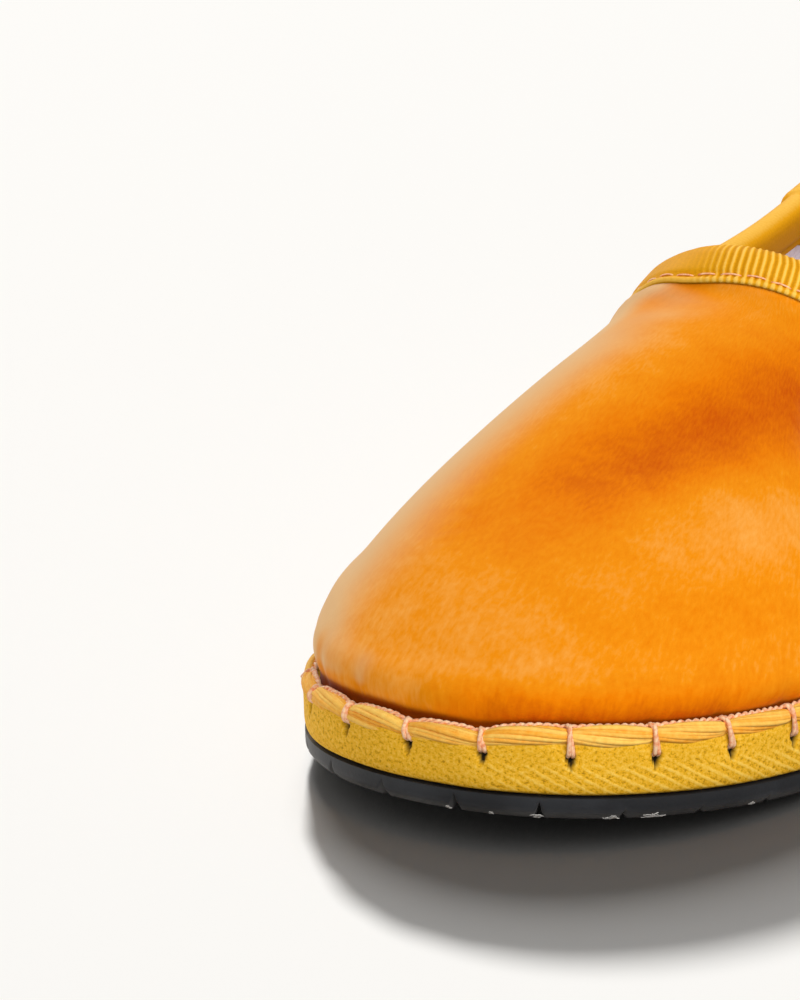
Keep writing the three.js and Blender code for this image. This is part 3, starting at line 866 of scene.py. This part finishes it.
def buildStitches():
    stitch = blanketStitch
    # running thread: two plies wound round a line on top of the roll
    s = np.arange(stitch["runSamples"]) / stitch["runSamples"]
    drawn = bell(fromStitch(s)[0], 0, stitch["pullReach"])
    angle = 2 * np.pi * (s * np.round(soleRun / stitch["runTwist"]) + np.array([[0], [0.5]]))
    around = stitch["runPly"] * stitch["runSpread"]
    inset = stitch["inset"] + (stitch["pull"] - stitch["pullSag"] * sag(s)) * drawn - around * np.cos(angle)
    height = last["rubber"] + stitch["above"] - sag(s) - stitch["dip"] * drawn + around * np.sin(angle)
    run, runFaces = edgeTubes(s, inset, height, stitch["runPly"], stitch["sides"], closed=True)
    # legs: the same two plies side by side, slanting a little on the way down
    f = np.linspace(0, 1, stitch["legSamples"])
    step = legSection["at"][-1] * f
    inset, above = (curveThrough(legSection, name, step) for name in ("inset", "above"))
    sagging = ramp(above, legSection["above"][-1], legSection["above"][0])
    height = last["rubber"] + above - sag(stitchPlace)[:, None, None] * sagging
    turn = 2 * np.pi * (step / stitch["legTwist"] + np.array(stitch["legTurns"])[:, None])
    around = stitch["legPly"] * stitch["legSpread"]
    sideways = stitchSlant[:, None, None] * ramp(f, *stitch["legSlant"]) + around * np.cos(turn)
    inset = inset - stitch["legFlat"] * around * np.sin(turn)
    s = stitchPlace[:, None, None] + sideways / soleRun
    legs, legFaces = edgeTubes(s, inset, height, stitch["legPly"], stitch["sides"], first=len(run))
    makePiece("stitch_thread", np.concatenate((run, legs)), runFaces + legFaces, thread, "thread")


buildStitches()

outsoleEdge = {
    "columns": 1380, "sharp": 35, "nicksPerSide": 23, "nickWidth": 1.2,
    "nickHeight": [(2.4, ("place", ramp, 0.025, 0.05, 0.75))],  # nearly closed on the outer side
    "nickInset": (9.4, 8.0), "treadPitch": 5.0, "treadDepth": 0.6,
    "treadCrest": (0.1, 0.7),  # of a cosine wave
    "treadSway": 1.2, "treadSwayLength": 3.2, "fillRows": 26,
    "fill": (0.97, 0.03),  # shares of the way in to the middle line
    "fillFade": (0.03, 0.1),
    # paler: along the lower edge, dust and painted light on the down-facing bevel, and on the toe's inner
    # side
    "dustAndPaintedLight": [
        (1, ("inset", ramp, 3.5, 2), ("above", ramp, 1.6, 0.5)),
        (0.5, ("inset", ramp, 1.5, 0.6), ("place", bell, -0.065, 0.02)),
    ],
}
# rings of the outsole from the tread groove out to the edge and up: inset and height
rubberSection = {
    "inset": [10.6, 10.45, 10.1, 10, 8.4, 8.3, 7.95, 7.8, 6.2, 4.6]
    + [3, 1.9, 1.6, 1.3, 0.7, 0.45, 0.38, 0.32, 0.3, 0.3],
    "above": [0, 0.15, 1.25, 1.4, 1.4, 1.25, 0.15, 0, 0, 0, 0, 0, 0.03, 0.25, 0.85, 1.15, 1.35, 2, 2.8, 3.4],
}


def buildOutsole():
    sole = outsoleEdge
    s = np.arange(sole["columns"]) / sole["columns"]
    # each nick is a V from below, even along each side from the toe tip; what is above it is squeezed up
    turn = 2 * halfLoop(s) * sole["nicksPerSide"]
    away = np.abs(turn - np.round(turn)) / sole["nicksPerSide"] * soleRun / 2
    nick = sumOf(sole["nickHeight"], place=aroundToe(s)) * np.clip(1 - away / (sole["nickWidth"] / 2), 0, 1)
    inset, above = (np.array(rubberSection[name])[:, None] for name in ("inset", "above"))
    cut = nick * ramp(inset, *sole["nickInset"])
    edge = edgePoint(s, inset, cut + above * (1 - cut / last["rubber"]))
    # underside inside the groove, drawn in towards the middle line, with shallow wavy ribs across
    w = np.linspace(*sole["fill"], sole["fillRows"])[:, None, None]
    fill = edge[0] + (edge[0] * [0, 1, 1] - edge[0]) * w
    wave = alongShoe(fill) + sole["treadSway"] * np.sin(fill[..., 0] / sole["treadSwayLength"])
    ribs = ramp(np.cos(2 * np.pi * wave / sole["treadPitch"]), *sole["treadCrest"])
    ribs = ribs * ramp(w[..., 0], *sole["fillFade"])
    fill[..., 2] = lift(alongShoe(fill)) + sole["treadDepth"] * ribs
    dustAndPaintedLight = sumOf(sole["dustAndPaintedLight"], inset=inset, above=above, place=aroundToe(s))
    marks = {"dustAndPaintedLight": np.concatenate((np.zeros(fill.shape[:-1]), dustAndPaintedLight))}
    grid = np.concatenate((fill, edge))
    makeRing("outsole_rubber", grid, False, rubber, "rubber", "outsole", marks=marks, sharp=sole["sharp"])


buildOutsole()

# lint under the rubber's edge by the toe: where along the edge from the toe tip, how far each bit spreads
lintBits = {
    "at": [-1.2, 5.5, 12.1, 23.3, 30.1, 47.0],
    "spread": [1.0, 0.7, 2.0, 2.0, 3.4, 1.2],
    "fibres": 7,
    "lengths": (0.3, 0.8),  # of the spread
    "slant": 0.35, "bow": 0.3, "scatter": 0.3, "heights": (0.15, 0.55), "between": (0.12, 1.0),
    "bevel": 1.45,  # inset and height on the bevel add up to this
    "samples": 9, "radius": 0.06, "sides": 5, "white": "dcd8d2",
}


# short fibres that lie on the rubber's bevelled lower edge, each a shallow bow at its own slant
def buildLint():
    bits = lintBits
    shape = (len(bits["at"]), bits["fibres"], 1)
    at, spread = (np.array(bits[name])[:, None, None] for name in ("at", "spread"))
    f = np.linspace(-0.5, 0.5, bits["samples"])
    run = spread * hand.uniform(*bits["lengths"], shape) * f
    slant = hand.normal(0, bits["slant"], shape)
    bow = hand.uniform(-bits["bow"], bits["bow"], shape) * (1 - 4 * f * f)
    along = at + run + spread * hand.uniform(-bits["scatter"], bits["scatter"], shape)
    above = np.clip(hand.uniform(*bits["heights"], shape) + run * slant + bow, *bits["between"])
    points, faces = edgeTubes(along / soleRun, bits["bevel"] - above, above, bits["radius"], bits["sides"])
    material, _ = startMaterial("cotton_lint", 0.9, 0.1, {"Base Color": colour(bits["white"])})
    makePiece("sole_lint", points, faces, material, "thread")


buildLint()

insoleSock = {
    "columns": 480, "sharp": 40,
    "inset": [4.4, 4.4, 4.45, 4.7, 5.1, 6, 8],
    "above": [0.3, 1.6, 2.0, 2.35, 2.5, 2.5, 2.5],
}


# a section with a rounded top edge carried round the outline
def buildInsole():
    s = np.arange(insoleSock["columns"]) / insoleSock["columns"]
    inset, above = (np.array(insoleSock[name])[:, None] for name in ("inset", "above"))
    grid = edgePoint(s, inset, insoleSeat + above)
    makeRing("insole_sock", grid, False, lining, "lining", "insole", sharp=insoleSock["sharp"])


buildInsole()

collarRibbon = {
    "ribs": 318, "columnsPerRib": 6, "thickness": 0.8,
    # ribbon below the collar edge on the outer face: narrower in front, wider on the front's inner side
    "outside": [(6.2,), (-1.6, ("place", bell, 0.012, 0.032)), (0.7, ("place", bell, -0.055, 0.022))],
    "inside": 5.4,
    "rows": {"outside": 18, "fold": 11, "inside": 10},
    "ribHeight": 0.14,
    "ribPower": 1.6,  # narrow ribs with wide valleys
    "smooth": [(0.95, ("place", ramp, 0.004, -0.02), ("place", ramp, -0.42, -0.34))],  # pressed, inner side
    "flat": 0.3,  # tone without ribs; on the inner face it gives a painted shade
    "puff": 0.5,
    "seam": 1.35,  # stitch line above the ribbon's lower edge
    "seamDepth": 0.4, "seamWidth": 0.45,
    "hemPaintedLight": 0.35,  # painted light, brighter between the stitch line and the edge
    "hemInset": (0.2, 0.3),
    "edge": 0.25,  # the cut edge thins over this width, and its ribs fray a little
    "edgeThin": 0.35, "edgeFray": 0.12, "edgeFlat": 0.5,
    "crest": 0.4,  # painted highlight on top of the fold where it is smooth, painted shade on the way in, by angle
    "crestFrom": (0.3, 1.2), "crestTo": (1.7, 2.9),
    "lap": [(0.7, ("along", ramp, 186.0, 186.7), ("along", ramp, 198.0, 197.3))],  # from the toe tip
}


# thickness that the ribbon's lapped end adds, on the inner side of the shoe
def lapStep(s):
    return sumOf(collarRibbon["lap"], along=alongShoe(lastControls(s)[3])) * (s % 1 > 0.5)


def outerFlange(c):
    return sumOf(collarRibbon["outside"], place=aroundToe(c))


# swell of the ribbon between rim and stitch line, drawn in at the line and flat below it
def ribbonSwell(drop, flange):
    line = flange - collarRibbon["seam"]
    swell = collarRibbon["puff"] * np.sqrt(np.clip(1 - (drop / line) ** 2, 0, 1))
    return swell - collarRibbon["seamDepth"] * bell(drop, line, collarRibbon["seamWidth"])


# ribbon point: down a face of the wall by a drop, pushed out along the last's normal
def ribbonPoint(s, drop, push):
    t = belowRim(s, drop)
    return lastPoint(s, t) + np.asarray(push)[..., None] * lastFrame(s, t)[0]


# rows of points down the outer face, over the fold, up the inner face and back underneath, with a mark of
# painted light and shade
def buildRibbon():
    ribbon = collarRibbon
    columns = ribbon["ribs"] * ribbon["columnsPerRib"]
    c = np.arange(columns) / columns
    s = collarParameter(c)
    thick = last["fit"] + ribbon["thickness"] + lapStep(s)
    normal, climb = lastFrame(s, np.ones(columns))
    rim = lastPoint(s, np.ones(columns))
    middle = rim - last["wall"] / 2 * normal
    # the ribs stand square to the ribbon's edge, though the meridians climb at a slant to it
    slant = (climb * unit(np.roll(rim, -1, axis=0) - np.roll(rim, 1, axis=0))).sum(-1)
    smooth = sumOf(ribbon["smooth"], place=aroundToe(c))
    plain = ribbon["flat"] + 0 * s
    rows, paintedRibLight = [], []

    def ribbed(drop):
        wave = 0.5 + 0.5 * np.cos(2 * np.pi * ribbon["ribs"] * (c - drop * slant / collarRun))
        return wave ** ribbon["ribPower"] * (1 - smooth) + plain * smooth

    def face(drops, flange, outer):
        for drop in drops:
            edge = ramp(drop, flange - ribbon["edge"], flange)
            crest = ribbed(drop)
            rib = ribbon["ribHeight"] * (crest - 0.5) * (1 - ribbon["edgeFlat"] * edge)
            out = thick - ribbon["edgeThin"] * edge + ribbonSwell(drop, flange) + rib
            frayed = drop + ribbon["edgeFray"] * edge * (crest - 0.5)
            rows.append(ribbonPoint(s, frayed, out if outer else -last["wall"] - out))
            # painted light and shade: brighter crests and hem on the outer face, a low flat tone on the inner
            # face
            hemPaintedLight = ramp(drop, flange - ribbon["seam"] + ribbon["hemInset"][0], flange - ribbon["hemInset"][1])
            paintedRibLight.append(crest + ribbon["hemPaintedLight"] * hemPaintedLight if outer else plain * crest * (1 - smooth))

    def under(drops, push):
        for drop in drops:
            rows.append(ribbonPoint(s, drop, push + 0 * s))
            paintedRibLight.append(plain)

    outside, inside = outerFlange(c), ribbon["inside"]
    face(outside * np.linspace(1, 0, ribbon["rows"]["outside"])[:, None], outside, True)
    top = ribbed(0)
    radius = last["wall"] / 2 + thick + ribbonSwell(0, outside) + ribbon["ribHeight"] * (top - 0.5)
    for angle in np.linspace(0, np.pi, ribbon["rows"]["fold"])[1:-1]:
        rows.append(middle + radius[:, None] * (np.cos(angle) * normal + np.sin(angle) * climb))
        bright = top + ribbon["crest"] * smooth * ramp(angle, *ribbon["crestFrom"])
        paintedRibLight.append(bright * (1 - ramp(angle, *ribbon["crestTo"])))
    face(inside * np.linspace(0, 1, ribbon["rows"]["inside"]), inside, False)
    under([inside, inside / 2, 0], -last["wall"] - last["fit"])
    rows.append(middle + (last["wall"] / 2 + last["fit"]) * climb)
    paintedRibLight.append(plain)
    under([0, outside / 2, outside], last["fit"])
    marks = {"rib": np.stack(paintedRibLight)}
    makeRing("collar_ribbon", np.stack(rows), True, grosgrain, "ribbon", "collar_binding", marks=marks)


buildRibbon()

ribbonStitch = {
    "pitch": 3.4, "length": 2.8, "radius": 0.13, "arch": 0.4, "sunk": 0.1, "waver": 0.15,
    "samples": 11, "sides": 6,
}


# short tubes along the ribbon's stitch line, each an arch that rises from the seam and sinks into it again
def buildRibbonStitches():
    stitch = ribbonStitch
    count = int(round(collarRun / stitch["pitch"]))
    f = np.linspace(-0.5, 0.5, stitch["samples"])
    c = (np.arange(count)[:, None] + f * stitch["length"] / stitch["pitch"]) / count
    s = collarParameter(c % 1).ravel()
    arch = np.tile(np.cos(np.pi * f) ** 0.5, count)
    rise = last["fit"] + collarRibbon["thickness"] + lapStep(s) - collarRibbon["seamDepth"]
    rise = rise + stitch["arch"] * arch - stitch["sunk"]
    waver = np.repeat(hand.uniform(-stitch["waver"], stitch["waver"], count), stitch["samples"])
    flat = (count, stitch["samples"], 3)
    drop = outerFlange(c.ravel()) - collarRibbon["seam"]
    paths = ribbonPoint(s, drop + waver, rise).reshape(flat)
    guide = lastFrame(s, belowRim(s, drop))[0].reshape(flat)
    makePiece("ribbon_stitches", *tubeMesh(paths, stitch["radius"], stitch["sides"], guide), thread, "thread")


buildRibbonStitches()

# plain pale floor, wide enough for every view
stage = {"reach": 14.0, "below": 0.05 * mm, "white": "faf8f4"}


def buildStage():
    mesh = bpy.data.meshes.new("floor")
    r, z = stage["reach"], -stage["below"]
    mesh.from_pydata([(-r, -r, z), (r, -r, z), (r, r, z), (-r, r, z)], [], [(0, 1, 2, 3)])
    floor = bpy.data.objects.new("floor", mesh)
    bpy.context.scene.collection.objects.link(floor)
    material, _ = startMaterial("matt_floor", 0.9, 0.1, {"Base Color": colour(stage["white"])})
    mesh.materials.append(material)


buildStage()

# behind the shoe a low small sun and a higher broad one light the floor and throw the shadow to the viewer;
# soft panels light the shoe: from the right, from the front, and from behind on the left and in the middle
lights = {
    "floorSun": {"from": (207.5, 28.5), "strength": 4.35, "width": 5.5},
    "floorSunHigh": {"from": (210.0, 40.0), "strength": 1.02, "width": 24.0},
    "keyPanel": {"from": (68.0, 42.0), "away": 1.6, "size": 1.2, "power": 17.0},
    "frontPanel": {"from": (18.0, 34.0), "away": 1.7, "size": 1.4, "power": 12.0},
    "leftPanel": {"from": (-118.0, 30.0), "away": 1.6, "size": 0.9, "power": 14.0},
    "backPanel": {"from": (205.0, 48.0), "away": 1.6, "size": 1.1, "power": 6.0},
}
sky = 0.1


# direction towards a place at an azimuth (0 looks along +Y from the toe) and an elevation
def towards(azimuth, elevation):
    a, e = np.radians(azimuth), np.radians(elevation)
    return Vector((np.sin(a) * np.cos(e), -np.cos(a) * np.cos(e), np.sin(e)))


def buildLights():
    onFloor = bpy.data.collections.new("lit_by_floor_sun")
    onShoe = bpy.data.collections.new("lit_by_panels")
    for thing in bpy.context.scene.objects:
        if thing.type == "MESH":
            (onFloor if thing.name == "floor" else onShoe).objects.link(thing)
    for name, plan in lights.items():
        light = bpy.data.lights.new(name, "SUN" if "width" in plan else "AREA")
        if light.type == "SUN":
            light.energy, light.angle = plan["strength"], np.radians(plan["width"])
        else:
            light.energy, light.size = plan["power"], plan["size"]
        lamp = bpy.data.objects.new(name, light)
        direction = towards(*plan["from"])
        lamp.location = direction * plan.get("away", 1.0)
        lamp.rotation_euler = direction.to_track_quat("Z", "Y").to_euler()
        lamp.light_linking.receiver_collection = onFloor if light.type == "SUN" else onShoe
        bpy.context.scene.collection.objects.link(lamp)
    world = bpy.data.worlds.new("studio")
    world.use_nodes = True
    backdrop = world.node_tree.nodes["Background"]
    backdrop.inputs["Color"].default_value = (1, 1, 1, 1)
    backdrop.inputs["Strength"].default_value = sky
    bpy.context.scene.world = world
    bpy.context.scene.view_settings.view_transform = "Standard"


buildLights()

# the photo's view: a long lens a metre from the toe tip, the toe low in the frame
shot = {
    "azimuth": 24.38, "elevation": 20.03, "away": 1.0, "leftOfToe": 7.55, "overToe": 49.19,
    "lens": 254.2, "sensor": 36, "far": 100,
}


def buildCamera():
    toe = Vector((0, -last["length"] / 2 * mm, 0))
    back = towards(shot["azimuth"], shot["elevation"])
    right = Vector((-back.y, back.x, 0)).normalized()
    aim = toe - shot["leftOfToe"] * mm * right + shot["overToe"] * mm * back.cross(right)
    camera = bpy.data.objects.new("camera", bpy.data.cameras.new("camera"))
    camera.location = toe + shot["away"] * back
    camera.rotation_euler = (camera.location - aim).to_track_quat("Z", "Y").to_euler()
    camera.data.lens = shot["lens"]
    camera.data.sensor_width = shot["sensor"]
    camera.data.clip_end = shot["far"]
    bpy.context.scene.collection.objects.link(camera)
    bpy.context.scene.camera = camera


buildCamera()
print("stage, lights and camera ready")
